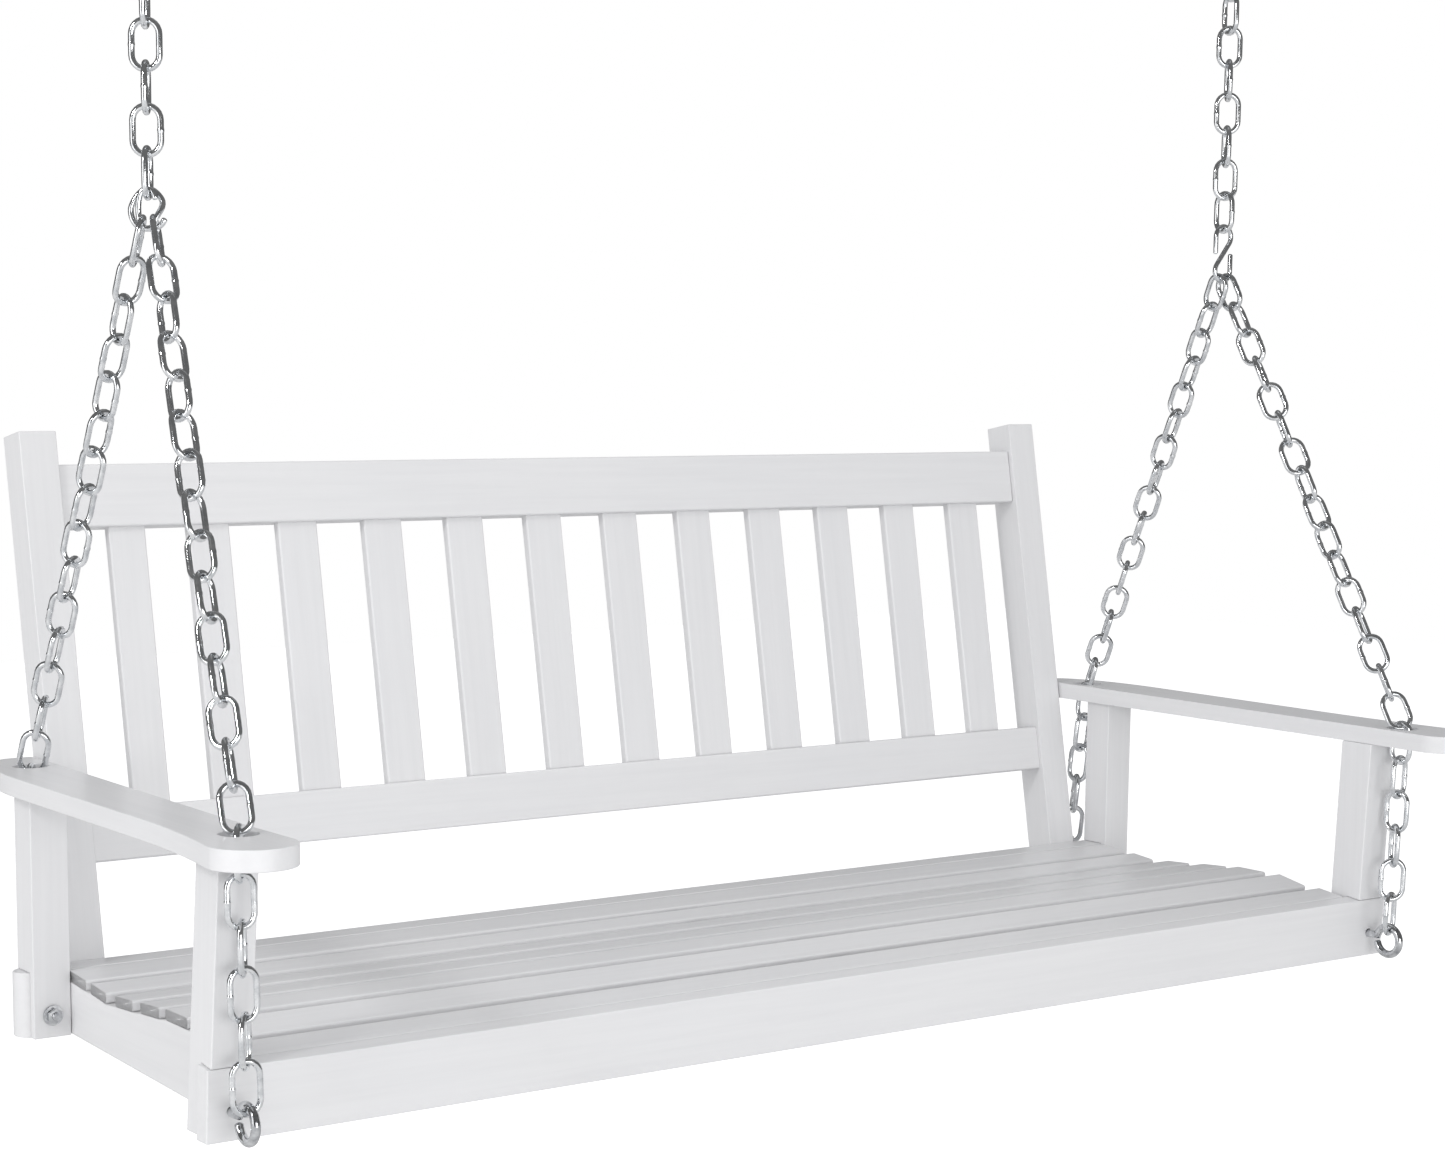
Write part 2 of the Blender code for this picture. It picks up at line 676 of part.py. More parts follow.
def make_top_link(side, sign):
    top = upper_bearings(side, sign)[0]
    bearings = [top + Vector((0, 0, LINK_SPACING)), top - Vector((0, 0, LINK_CLEAR))]
    return make_chain(f"top_link_{side}", bearings, [0])


def make_ceiling_hook(side, sign):
    """A plate with a wire ring hook under it, in the plane of the two hooks."""
    low = ceiling_wire(side, sign)
    centre = low + Vector((0, 0, CEILING_RING_RADIUS))
    plate_z = CEILING_PLATE_TOP - CEILING_PLATE_SIZE[2] / 2
    plate_centre = (sign * HOOK_X, HOOK_Y, plate_z)
    hook = block(f"ceiling_hook_{side}", CEILING_PLATE_SIZE, plate_centre)
    ring = arc((0, 0), CEILING_RING_RADIUS, 90, CEILING_RING_END, 16)
    points = [(0, plate_z - centre.z)] + ring
    shape = wire("ring", [(x, 0, z) for x, z in points], CEILING_HOOK_WIRE)
    shape.name = f"ceiling_ring_{side}"
    shape.matrix_world = Matrix.Translation(centre)
    join(hook, shape)
    for offset in (-1, 1):
        x = sign * HOOK_X + offset * SCREW_HOLE_SPACING / 2
        length = 4 * CEILING_PLATE_SIZE[2]
        hole = rod(f"plate_hole_{side}_{offset}", SCREW_HOLE_RADIUS, length, (x, HOOK_Y, plate_z), 12)
        cut(hook, hole)
    return keep(hook, DARK_ZINC)


def connector_clear(side):
    """From a connector's wire centre to the bearing of the link on it."""
    return CONNECTOR_WIRE + CONNECTOR_CLEAR[side]


def connector_top(side, sign):
    """Centre of the connector's highest wire, which rests in the upper chain's last link."""
    return upper_bearings(side, sign)[-1] + Vector((0, 0, connector_clear(side)))


def connector_low(side, sign):
    """Centre of the connector's lowest wire, on which the lower chains hang."""
    height = LAP_RING_HEIGHT if side == "left" else S_LOOP_SPACING + 2 * S_LOOP_RADIUS
    return connector_top(side, sign) - Vector((0, 0, height))


def make_lap_link(side, sign):
    """A lap link: an oval ring of wire wound twice, the turns side by side."""
    half_width = LAP_RING_WIDTH / 2
    half_height = LAP_RING_HEIGHT / 2
    first, last = LAP_CROSSING
    steps = 36
    points = []
    for step in range(steps + 1):
        angle = LAP_START + LAP_SWEEP * step / steps
        share = min(max((angle - first) / (last - first), 0), 1)
        offset = LAP_OFFSET * (2 * share * share * (3 - 2 * share) - 1)
        turn = math.radians(angle)
        points.append((half_width * math.cos(turn), offset, half_height * math.sin(turn)))
    ring = wire(f"lap_link_{side}", points, CONNECTOR_WIRE)
    ring.location = connector_top(side, sign) - Vector((0, 0, half_height))
    ring.rotation_euler.z = math.radians(CONNECTOR_TURN[side])
    return keep(ring, ZINC)


def make_s_hook(side, sign):
    half = S_LOOP_SPACING / 2
    upper = arc((0, half), S_LOOP_RADIUS, 180, -45, 9)
    lower = arc((0, -half), S_LOOP_RADIUS, 135, 360, 9)
    upper_tip = (-S_LOOP_RADIUS, half - S_TIP_LENGTH)
    lower_tip = (S_LOOP_RADIUS, S_TIP_LENGTH - half)
    outline = [upper_tip] + upper + lower + [lower_tip]
    hook = wire(f"s_hook_{side}", [(x, 0, z) for x, z in outline], CONNECTOR_WIRE)
    hook.location = connector_top(side, sign) - Vector((0, 0, half + S_LOOP_RADIUS))
    return keep(hook, ZINC)


def screw_hook_centre(end, sign):
    """Centre of a screw hook's ring, clear of the wood that it is driven into."""
    if end == "front":
        return Vector((sign * FRONT_HOOK_X, FRONT_Y - SCREW_HOOK_REACH, SCREW_HOOK_Z))
    return Vector((sign * REAR_HOOK_X, RAIL_BACK + SCREW_HOOK_REACH, SCREW_HOOK_Z))


def make_screw_hook(end, side, sign, pieces):
    """An open ring on a shank that is driven into the wood behind it."""
    centre = screw_hook_centre(end, sign)
    wood = 1 if end == "front" else -1  # the side on which the wood lies, along Y
    shank_tip = SCREW_HOOK_REACH + SHANK_DEPTH
    start = 180 - math.degrees(math.asin(SHANK_RISE / SCREW_HOOK_RADIUS))
    ring = arc((0, 0), SCREW_HOOK_RADIUS, start, SCREW_RING_END, 16)
    points = [(-shank_tip, SHANK_RISE), (-SHANK_BEND, SHANK_RISE)] + ring
    name = f"{end}_screw_hook_{side}"
    hook = wire(name, [(0, -wood * u, v) for u, v in points], SCREW_HOOK_WIRE)
    hook.location = centre
    for piece in pieces:
        bore_length = SHANK_DEPTH + BORE_RUNOUT
        middle = centre + Vector((0, wood * (shank_tip + GAP - bore_length / 2), SHANK_RISE))
        bore = rod(
            f"{name}_bore_{piece.name}", SCREW_HOOK_WIRE + GAP, bore_length, middle, 12, ALONG_Y
        )
        cut(piece, bore)
    return keep(hook, DARK_ZINC)


def lower_rolls(end, side):
    """Each link stands across its neighbours, and the chain twists slowly down to the arm."""
    links = ABOVE_ARM_LINKS[side]
    twist = math.radians(TWIST_TO_ARM[end, side])
    rolls = [QUARTER_TURN * number - twist * number / (links - 1) for number in range(links)]
    rolls[0] -= math.radians(CONNECTOR_TURN[side])
    return rolls + [math.radians(turn) for turn in BELOW_ARM_TURNS[side]]


def make_lower_chain(end, side, sign):
    """From the connector through the arm's hole to the screw hook."""
    hole_x, hole_y = FRONT_HOLE if end == "front" else REAR_HOLE
    through = Vector((sign * hole_x, hole_y, arm_height(side, hole_y) + HOLE_BEARING_RISE[end]))
    offset = FIRST_LINK_OFFSET[side] if end == "front" else -FIRST_LINK_OFFSET[side]
    turn = math.radians(CONNECTOR_TURN[side])
    top = connector_low(side, sign) + offset * Vector((math.cos(turn), math.sin(turn), 0))
    top -= (through - top).normalized() * connector_clear(side)
    ring_top = screw_hook_centre(end, sign) + Vector((0, 0, SCREW_HOOK_RADIUS))
    low = ring_top - Vector((0, 0, SCREW_HOOK_WIRE + END_CLEAR))
    bearings = spaced(top, through, ABOVE_ARM_LINKS[side])[:-1] + spaced(through, low, BELOW_ARM_LINKS)
    return make_chain(f"{end}_chain_{side}", bearings, lower_rolls(end, side))


# ---------------------------------------------------------------- assembly


def carry(pivot_name, pivot, pieces):
    """An empty on a joint's axis that carries the pieces which move about it."""
    empty = bpy.data.objects.new(pivot_name, None)
    empty.location = pivot
    PARTS.objects.link(empty)
    bpy.context.view_layer.update()
    for piece in pieces:
        piece.parent = empty
        piece.matrix_parent_inverse = empty.matrix_world.inverted()
    return empty


def make_seat():
    apron = make_apron()
    rail = make_rear_rail()
    pieces = [apron, rail, make_centre_bearer()] + make_seat_slats()
    pieces += make_back_rails() + make_back_slats()
    for side, sign in SIDES:
        front_post = make_front_post(side, sign)
        arm_post = make_rear_arm_post(side, sign)
        back_post = make_back_post(side, sign)
        pieces += [make_side_rail(side, sign), make_arm(side, sign), front_post, arm_post, back_post]
        bolt_x, bolt_z = ARM_BOLT
        pieces.append(make_bolt(
            f"arm_post_bolt_{side}", sign * bolt_x, bolt_z, REAR_POST_FRONT, ARM_BOLT_DEPTH,
            (arm_post, rail)
        ))
        bolt_x, bolt_z = BACK_BOLT
        pieces.append(make_bolt(
            f"back_post_bolt_{side}", sign * bolt_x, bolt_z, RAIL_FRONT, BACK_BOLT_DEPTH,
            (rail, back_post)
        ))
        pieces.append(make_screw_hook("front", side, sign, (apron, front_post)))
        pieces.append(make_screw_hook("rear", side, sign, (rail,)))
        pieces += [make_lower_chain("front", side, sign), make_lower_chain("rear", side, sign)]
    return pieces


def make_suspension(side, sign):
    """The fittings and the chain above the seat on one side, each under its joint's empty."""
    make_ceiling_hook(side, sign)
    top_link = make_top_link(side, sign)
    carry(f"swing_pivot_{side}", ceiling_wire(side, sign), [top_link])
    bearings = upper_bearings(side, sign)
    upper_chain = make_chain(f"upper_chain_{side}", bearings, upper_rolls(side))
    half_seat = Vector((0, 0, LINK_SEAT / 2))
    top_link_wire = bearings[0] - half_seat - Vector((0, 0, LINK_CLEAR))
    carry(f"sway_pivot_{side}", top_link_wire, [upper_chain])
    connector = make_lap_link(side, sign) if side == "left" else make_s_hook(side, sign)
    carry(f"connector_pivot_{side}", bearings[-1] - half_seat, [connector])


def main():
    for side, sign in SIDES:
        make_suspension(side, sign)
    seat = make_seat()
    carry("tilt_pivot", connector_low("left", -1), seat)


main()
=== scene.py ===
"""Looks of the porch swing seat: satin white painted boards, and zinc plated chain, hooks and bolts.

Metres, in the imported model's frame: +Z up, +Y to the back, +X to the right end seen from the front.
"""

import json
import math
import random

import bmesh
import bpy
from mathutils import Matrix, Vector

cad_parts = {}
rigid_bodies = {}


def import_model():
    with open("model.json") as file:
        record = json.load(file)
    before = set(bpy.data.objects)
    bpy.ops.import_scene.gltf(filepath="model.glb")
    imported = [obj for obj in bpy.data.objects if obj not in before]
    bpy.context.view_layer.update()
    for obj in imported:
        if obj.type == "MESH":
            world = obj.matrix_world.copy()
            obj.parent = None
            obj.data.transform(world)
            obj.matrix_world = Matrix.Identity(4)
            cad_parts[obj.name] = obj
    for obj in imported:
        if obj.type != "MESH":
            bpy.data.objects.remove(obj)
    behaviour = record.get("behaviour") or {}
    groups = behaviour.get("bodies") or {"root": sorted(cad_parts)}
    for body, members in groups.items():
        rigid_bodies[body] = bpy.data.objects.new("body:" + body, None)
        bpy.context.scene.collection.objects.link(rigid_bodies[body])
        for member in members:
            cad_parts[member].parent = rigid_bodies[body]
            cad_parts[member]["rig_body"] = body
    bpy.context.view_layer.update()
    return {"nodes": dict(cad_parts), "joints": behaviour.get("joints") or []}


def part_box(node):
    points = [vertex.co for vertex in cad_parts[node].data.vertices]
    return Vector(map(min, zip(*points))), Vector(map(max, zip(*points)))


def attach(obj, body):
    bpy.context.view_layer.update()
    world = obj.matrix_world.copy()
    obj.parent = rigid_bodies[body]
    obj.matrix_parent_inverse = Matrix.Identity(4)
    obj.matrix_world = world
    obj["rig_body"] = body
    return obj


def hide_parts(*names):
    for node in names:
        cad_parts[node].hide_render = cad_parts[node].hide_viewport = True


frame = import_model()
JOINTS = {joint["name"]: joint for joint in frame["joints"]}
NODES = frame["nodes"]
SIDES = (("left", -1), ("right", 1))

# Boards
EDGE_RADIUS = 0.0026
THIN_EDGE_RADIUS = 0.0021
RAIL_EDGE_RADIUS = 0.0011
EDGE_SEGMENTS = 4
BORE_EDGE = 0.005  # an edge shorter than this belongs to a bore's mouth and stays sharp
MORTISE_EDGE = 0.055
SLAT_END_EDGE = 0.1  # a slat's ends stay sharp
FLAT_ANGLE = math.radians(0.6)
CORNER_ANGLE = math.radians(28)
BACK_LEAN = math.atan(0.1812)
ARM_THICKNESS = 0.0186

# Chain: the links' real wire, with neighbours in contact
LINK_WIRE = 0.00285
LINK_WIDTH = 0.0246  # between the leg centres
ABOVE_ARM_LINKS = {"left": 15, "right": 16}
TWIST_TO_ARM = {  # degrees over the links above the arm
    ("front", "left"): 55,
    ("rear", "left"): 55,
    ("front", "right"): 145,
    ("rear", "right"): 55,
}
BELOW_ARM_TURNS = {  # degrees of each link below the arm about its chain
    "left": (35, 90, 35, 90, 40, 95),
    "right": (0, 77, -10, 35, 125, 70),
}
UPPER_TWIST = 35
UPPER_TWIST_LINKS = 4  # over which an upper chain takes up its twist
UPPER_LINKS = 8
QUARTER_TURN = math.pi / 2
BEND_STEPS = 12
WELD_LENGTH = 0.0050
WELD_SWELL = 0.12
LOOSE_ROLL = math.radians(3)
HOLES = {"front": (0.717, -0.25373), "rear": (0.697, 0.22027)}
HOLE_BEARING_RISE = {"front": 0.0030, "rear": -0.0030}
FIRST_LINK_OFFSET = {"left": 0.0065, "right": 0.0040}
FIRST_LINK_RISE = {"left": 0.0024, "right": 0.0007}  # the left links still cut into the lap link
CONNECTOR_TURN = {"left": -35, "right": 0}  # degrees about the vertical, as the upper chain twists

# Fittings
CONNECTOR_WIRE = 0.00265
LAP_SEAT = 0.0017  # seat of the lap link's two turns in a link, beyond that of one wire
LAP_START = 30  # degrees
LAP_SWEEP = 660  # two turns, less the opening between its ends
LAP_CROSSING = (330, 60)  # where the wire starts to pass to the other turn, and how far it takes
LAP_OFFSET = 0.0028  # each turn of the lap link from its middle plane
LAP_HALF_WIDTH = 0.0080
LAP_REAR_EXTRA = (0.0020, 0.0056)  # the rear turn is this much wider at the top, and lower down
LAP_SQUARENESS = (0.78, 0.90)
S_LOOP_RADIUS = 0.0120
S_TIP_LENGTH = 0.018
SCREW_HOOK_WIRE = 0.0042
SCREW_RING_END = -164  # degrees
SCREW_HOOK_RADIUS = 0.0155
SHANK_RISE = 0.004
SHANK_BEND = 0.020
SHANK_LENGTH = 0.057
CEILING_HOOK_WIRE = 0.004
CEILING_RING_RADIUS = 0.016
CEILING_RING_END = 395
PLATE_CORNER = 0.006
PLATE_THICKNESS = 0.005
PLATE_EDGE = 0.0006
SCREW_HOLE_RADIUS = 0.0027
SCREW_HOLE_SPACING = 0.052
WASHER_RADIUS = 0.010
WASHER_THICKNESS = 0.0018
NUT_RADIUS = 0.0078
NUT_HEIGHT = 0.0050
BOLT_RADIUS = 0.0040
BOLT_END = 0.0022

# Camera and stage
CAMERA_PLACE = (-1.77356, -2.32533, 0.64160)
CAMERA_YAW = 0.6050
CAMERA_PITCH = 0.1291
CAMERA_ROLL = 0.0051
CAMERA_LENS = 70.78
CAMERA_SHIFT = (0.0740, 0.1186)
FLOOR_HEIGHT = -0.36
FLOOR_SIZE = 14
FLOOR_TONE = 0.70
FLOOR_GLOW = 0.60
SURROUND_STRENGTH = 0.80
REFLECTED_STRENGTH = 0.15  # what glossy surfaces see, so that bare metal has dark edges


# ---------------------------------------------------------------- materials


def new_material(name, slot_name, roughness, metallic):
    """A Principled material tagged with the record's slot that its pieces take."""
    material = bpy.data.materials.new(name)
    material.use_nodes = True
    material["slot"] = slot_name
    shader = material.node_tree.nodes["Principled BSDF"]
    shader.inputs["Roughness"].default_value = roughness
    shader.inputs["Metallic"].default_value = metallic
    return material, material.node_tree, shader


def noise(tree, vector, scale, detail, roughness=0.5):
    node = tree.nodes.new("ShaderNodeTexNoise")
    node.inputs["Scale"].default_value = scale
    node.inputs["Detail"].default_value = detail
    node.inputs["Roughness"].default_value = roughness
    tree.links.new(vector, node.inputs["Vector"])
    return node.outputs["Fac"]


def ramp(tree, value, low, high, low_colour, high_colour):
    node = tree.nodes.new("ShaderNodeValToRGB")
    node.color_ramp.elements[0].position = low
    node.color_ramp.elements[1].position = high
    node.color_ramp.elements[0].color = (*low_colour, 1)
    node.color_ramp.elements[1].color = (*high_colour, 1)
    tree.links.new(value, node.inputs["Fac"])
    return node.outputs["Color"]


def remap(tree, value, low, high):
    node = tree.nodes.new("ShaderNodeMapRange")
    node.inputs["To Min"].default_value = low
    node.inputs["To Max"].default_value = high
    tree.links.new(value, node.inputs["Value"])
    return node.outputs["Result"]


def multiply_colours(tree, first, second):
    node = tree.nodes.new("ShaderNodeMix")
    node.data_type = "RGBA"
    node.blend_type = "MULTIPLY"
    node.inputs["Factor"].default_value = 1
    tree.links.new(first, node.inputs[6])
    tree.links.new(second, node.inputs[7])
    return node.outputs[2]


def bump(tree, height, distance, strength, under=None):
    node = tree.nodes.new("ShaderNodeBump")
    node.inputs["Distance"].default_value = distance
    node.inputs["Strength"].default_value = strength
    tree.links.new(height, node.inputs["Height"])
    if under is not None:
        tree.links.new(under, node.inputs["Normal"])
    return node.outputs["Normal"]


def placed(tree, rotation=(0, 0, 0), scale=(1, 1, 1)):
    """The piece's own coordinates, turned and then stretched."""
    source = tree.nodes.new("ShaderNodeTexCoord")
    turned = tree.nodes.new("ShaderNodeMapping")
    turned.inputs["Rotation"].default_value = rotation
    stretched = tree.nodes.new("ShaderNodeMapping")
    stretched.inputs["Scale"].default_value = scale
    tree.links.new(source.outputs["Object"], turned.inputs["Vector"])
    tree.links.new(turned.outputs["Vector"], stretched.inputs["Vector"])
    return stretched.outputs["Vector"]


def make_paint(name, grain_axis, rotation=(0, 0, 0)):
    """Satin white paint over planed wood: fine grain along the board shows through as streaks."""
    material, tree, shader = new_material(name, "white_paint", 0.42, 0)
    along, across = 2.2, 60
    stretch = [across] * 3
    stretch[grain_axis] = along
    grain_space = placed(tree, rotation, stretch)
    fine_stretch = [4.5 * value for value in stretch]
    fine_space = placed(tree, rotation, fine_stretch)
    streaks = noise(tree, grain_space, 2.2, 5, 0.62)
    pores = noise(tree, fine_space, 1.6, 3, 0.7)
    clouds = noise(tree, placed(tree), 5, 3, 0.5)
    streak_tone = ramp(tree, streaks, 0.32, 0.62, (0.722, 0.721, 0.730), (0.748, 0.747, 0.755))
    cloud_tone = ramp(tree, clouds, 0.35, 0.65, (0.985, 0.986, 0.990), (1.0, 1.0, 1.0))
    colour = multiply_colours(tree, streak_tone, cloud_tone)
    tree.links.new(colour, shader.inputs["Base Color"])
    tree.links.new(remap(tree, streaks, 0.48, 0.38), shader.inputs["Roughness"])
    brushed = bump(tree, streaks, 0.0004, 0.16)
    tree.links.new(bump(tree, pores, 0.00016, 0.16, brushed), shader.inputs["Normal"])
    shader.inputs["Coat Weight"].default_value = 0.18
    shader.inputs["Coat Roughness"].default_value = 0.22
    return material


def make_zinc(name, slot_name, dark, light, roughness):
    """Zinc plate: a blotchy tone, small dull specks and drawing lines too fine to follow."""
    material, tree, shader = new_material(name, slot_name, roughness[0], 1)
    space = placed(tree)
    blotches = noise(tree, space, 110, 4, 0.55)
    specks = noise(tree, space, 900, 3, 0.6)
    tone = ramp(tree, blotches, 0.33, 0.64, dark, light)
    dull = ramp(tree, specks, 0.30, 0.46, (0.86, 0.87, 0.89), (1.0, 1.0, 1.0))
    tree.links.new(multiply_colours(tree, tone, dull), shader.inputs["Base Color"])
    tree.links.new(remap(tree, blotches, roughness[1], roughness[0]), shader.inputs["Roughness"])
    hammered = bump(tree, blotches, 0.0008, 0.30)
    tree.links.new(bump(tree, specks, 0.00006, 0.12, hammered), shader.inputs["Normal"])
    return material


PAINT_X = make_paint("white_paint_along_x", 0)
PAINT_Y = make_paint("white_paint_along_y", 1)
PAINT_Z = make_paint("white_paint_along_z", 2)
PAINT_BACK = make_paint("white_paint_up_the_back", 2, (BACK_LEAN, 0, 0))
ZINC = make_zinc("bright_zinc", "bright_zinc", (0.66, 0.68, 0.70), (0.94, 0.95, 0.96), (0.07, 0.18))
DARK_ZINC = make_zinc("dark_zinc", "dark_zinc", (0.42, 0.43, 0.45), (0.80, 0.81, 0.82), (0.06, 0.16))


# ---------------------------------------------------------------- helpers


def add_piece(item, material, body, nodes=()):
    """Gives a finished piece its material and its body, and hides the nodes that it stands for."""
    item.data.materials.clear()
    item.data.materials.append(material)
    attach(item, body)
    if nodes:
        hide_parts(*nodes)
    return item


def link_object(name, data):
    item = bpy.data.objects.new(name, data)
    bpy.context.scene.collection.objects.link(item)
    return item


def body_of(node):
    return NODES[node]["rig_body"]


# ---------------------------------------------------------------- boards


def eased_board(node, material, radius, shortest):
    """The node's own shape with its corners rounded, as planed and sanded boards have."""
    shape = bmesh.new()
    shape.from_mesh(NODES[node].data)
    bmesh.ops.remove_doubles(shape, verts=shape.verts, dist=0.00001)
    bmesh.ops.dissolve_limit(
        shape, angle_limit=FLAT_ANGLE, verts=shape.verts, edges=shape.edges, delimit=set()
    )
    corners = []
    for edge in shape.edges:
        if edge.is_manifold and edge.calc_face_angle() > CORNER_ANGLE and edge.calc_length() > shortest:
            corners.append(edge)
    bmesh.ops.bevel(
        shape, geom=corners, offset=radius, offset_type="OFFSET", segments=EDGE_SEGMENTS,
        profile=0.5, affect="EDGES", clamp_overlap=True, loop_slide=True
    )
    mesh = bpy.data.meshes.new(node + "_board")
    shape.to_mesh(mesh)
    shape.free()
    mesh.shade_smooth()
    item = link_object(node + "_board", mesh)
    weighted = item.modifiers.new("weighted_normals", "WEIGHTED_NORMAL")
    weighted.keep_sharp = True
    return add_piece(item, material, body_of(node), [node])


def make_boards():
    eased_board("front_apron", PAINT_X, EDGE_RADIUS, BORE_EDGE)
    eased_board("rear_rail", PAINT_X, EDGE_RADIUS, BORE_EDGE)
    eased_board("centre_bearer", PAINT_Y, RAIL_EDGE_RADIUS, MORTISE_EDGE)
    for rail in ("top_rail", "lower_back_rail"):
        eased_board(rail, PAINT_X, EDGE_RADIUS, MORTISE_EDGE)
    for node in sorted(NODES):
        if node.startswith("seat_slat"):
            eased_board(node, PAINT_X, EDGE_RADIUS, SLAT_END_EDGE)
        if node.startswith("back_slat"):
            eased_board(node, PAINT_BACK, THIN_EDGE_RADIUS, BORE_EDGE)
    for side, _ in SIDES:
        eased_board(f"side_rail_{side}", PAINT_Y, RAIL_EDGE_RADIUS, MORTISE_EDGE)
        eased_board(f"arm_{side}", PAINT_Y, EDGE_RADIUS, 0)
        eased_board(f"front_post_{side}", PAINT_Z, EDGE_RADIUS, BORE_EDGE)
        eased_board(f"rear_arm_post_{side}", PAINT_Z, EDGE_RADIUS, BORE_EDGE)
        eased_board(f"back_post_{side}", PAINT_BACK, EDGE_RADIUS, BORE_EDGE)


# ---------------------------------------------------------------- wire


def new_wire(name, radius):
    """A curve whose splines are drawn as round wire."""
    curve = bpy.data.curves.new(name, "CURVE")
    curve.dimensions = "3D"
    curve.bevel_depth = radius
    curve.bevel_resolution = 5
    curve.use_fill_caps = True
    return curve


def add_run(curve, points, radii=None, cyclic=False):
    spline = curve.splines.new("POLY")
    spline.points.add(len(points) - 1)
    for number, point in enumerate(points):
        spline.points[number].co = (*point, 1)
        spline.points[number].radius = radii[number] if radii else 1
    spline.use_cyclic_u = cyclic
    spline.use_smooth = True


def arc(centre, radius, start, end, steps):
    """Points on a circle from one angle to another, in degrees."""
    angles = [math.radians(start + (end - start) * step / steps) for step in range(steps + 1)]
    return [(centre[0] + radius * math.cos(a), centre[1] + radius * math.sin(a)) for a in angles]


def rounded_ends(points, wire):
    """Adds points that close both ends of an open wire with a dome, and the radii along it."""
    dome = 4
    depth = 0.6 * wire
    starts = []
    ends = []
    for step in range(1, dome + 1):
        turn = math.radians(88 * step / dome)
        starts.insert(0, points[0] + (points[0] - points[1]).normalized() * depth * math.sin(turn))
        ends.append(points[-1] + (points[-1] - points[-2]).normalized() * depth * math.sin(turn))
    closing = [math.cos(math.radians(88 * step / dome)) for step in range(1, dome + 1)]
    return starts + list(points) + ends, closing[::-1] + [1] * len(points) + closing


# ---------------------------------------------------------------- chain


def link_outline(inner_length):
    """A link's wire line in its own plane, long way along X, with the swell of its weld."""
    radius = LINK_WIDTH / 2
    half_leg = inner_length / 2 + LINK_WIRE - radius
    points = arc((half_leg, 0), radius, -90, 90, BEND_STEPS)
    radii = [1.0] * len(points)
    weld_steps = 8
    for step in range(weld_steps + 1):
        x = WELD_LENGTH * (0.5 - step / weld_steps)
        points.append((x, radius))
        radii.append(1 + WELD_SWELL * math.cos(math.pi * x / WELD_LENGTH) ** 2)
    far = arc((-half_leg, 0), radius, 90, 270, BEND_STEPS)
    return points + far, radii + [1.0] * len(far)


def link_frame(start, end, roll):
    """Where a link lies that pulls from start to end; at roll 0 its plane holds the Y axis."""
    along = (end - start).normalized()
    width = Matrix.Rotation(roll, 3, along) @ along.cross(Vector((1, 0, 0))).normalized()
    axes = Matrix((along, width, along.cross(width))).transposed().to_4x4()
    return Matrix.Translation((start + end) / 2) @ axes


def spaced(start, end, count):
    return [start.lerp(end, number / count) for number in range(count + 1)]


def make_chain(node, bearings, rolls, seed):
    """The links of one chain, each turned a little loosely in its neighbours."""
    loose = random.Random(seed)
    curve = new_wire(node + "_links", LINK_WIRE)
    for start, end, roll in zip(bearings, bearings[1:], rolls):
        outline, radii = link_outline((end - start).length)
        flip = loose.choice((-1, 1))
        wobble = loose.uniform(-LOOSE_ROLL, LOOSE_ROLL)
        place = link_frame(start, end, roll + wobble)
        add_run(curve, [place @ Vector((x, flip * y, 0)) for x, y in outline], radii, True)
    return add_piece(link_object(node + "_links", curve), ZINC, body_of(node), [node])


def joint_place(name):
    return Vector(JOINTS[name]["pos_m"])


def ceiling_wire(side):
    return joint_place("swing" if side == "left" else "right_swing")


def top_link_wire(side):
    """The centre of the top link's lower bend, which is as far below its hook on either side."""
    return ceiling_wire(side) + joint_place("sway") - joint_place("swing")


def connector_span(side):
    """The centres of the connector's highest and lowest wires."""
    low = joint_place("tilt" if side == "left" else "s_hook_turn")
    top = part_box("lap_link_left" if side == "left" else "s_hook_right")[1]
    return Vector((low.x, low.y, top.z - CONNECTOR_WIRE)), low


def connector_seat(side):
    """From the connector's wire centre to where a link's wire touches it."""
    return CONNECTOR_WIRE + (LAP_SEAT if side == "left" else 0)


def screw_hook_centre(end, side):
    low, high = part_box(f"{end}_screw_hook_{side}")
    reach = SCREW_HOOK_RADIUS + SCREW_HOOK_WIRE
    y = low.y + reach if end == "front" else high.y - reach
    return Vector(((low.x + high.x) / 2, y, high.z - reach))


def arm_height(side, y):
    low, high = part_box(f"arm_{side}")
    slope = (high.z - low.z - ARM_THICKNESS) / (high.y - low.y)
    return high.z - slope * (high.y - y)


def make_upper_chains(side, sign):
    up = Vector((0, 0, 1))
    hook_bearing = ceiling_wire(side) + up * CEILING_HOOK_WIRE
    link_bearing = top_link_wire(side) + up * LINK_WIRE
    low = connector_span(side)[0] - up * connector_seat(side)
    make_chain(f"top_link_{side}", [hook_bearing, link_bearing], [0], 3)
    rolls = []
    for number in range(UPPER_LINKS):
        share = min((number + 1) / UPPER_TWIST_LINKS, 1)
        if side == "right":
            share = min(share, (UPPER_LINKS - 1 - number) / 2)
        rolls.append(QUARTER_TURN * (number + 1) + math.radians(UPPER_TWIST) * share)
    make_chain(f"upper_chain_{side}", spaced(link_bearing, low, UPPER_LINKS), rolls, 5 + sign)


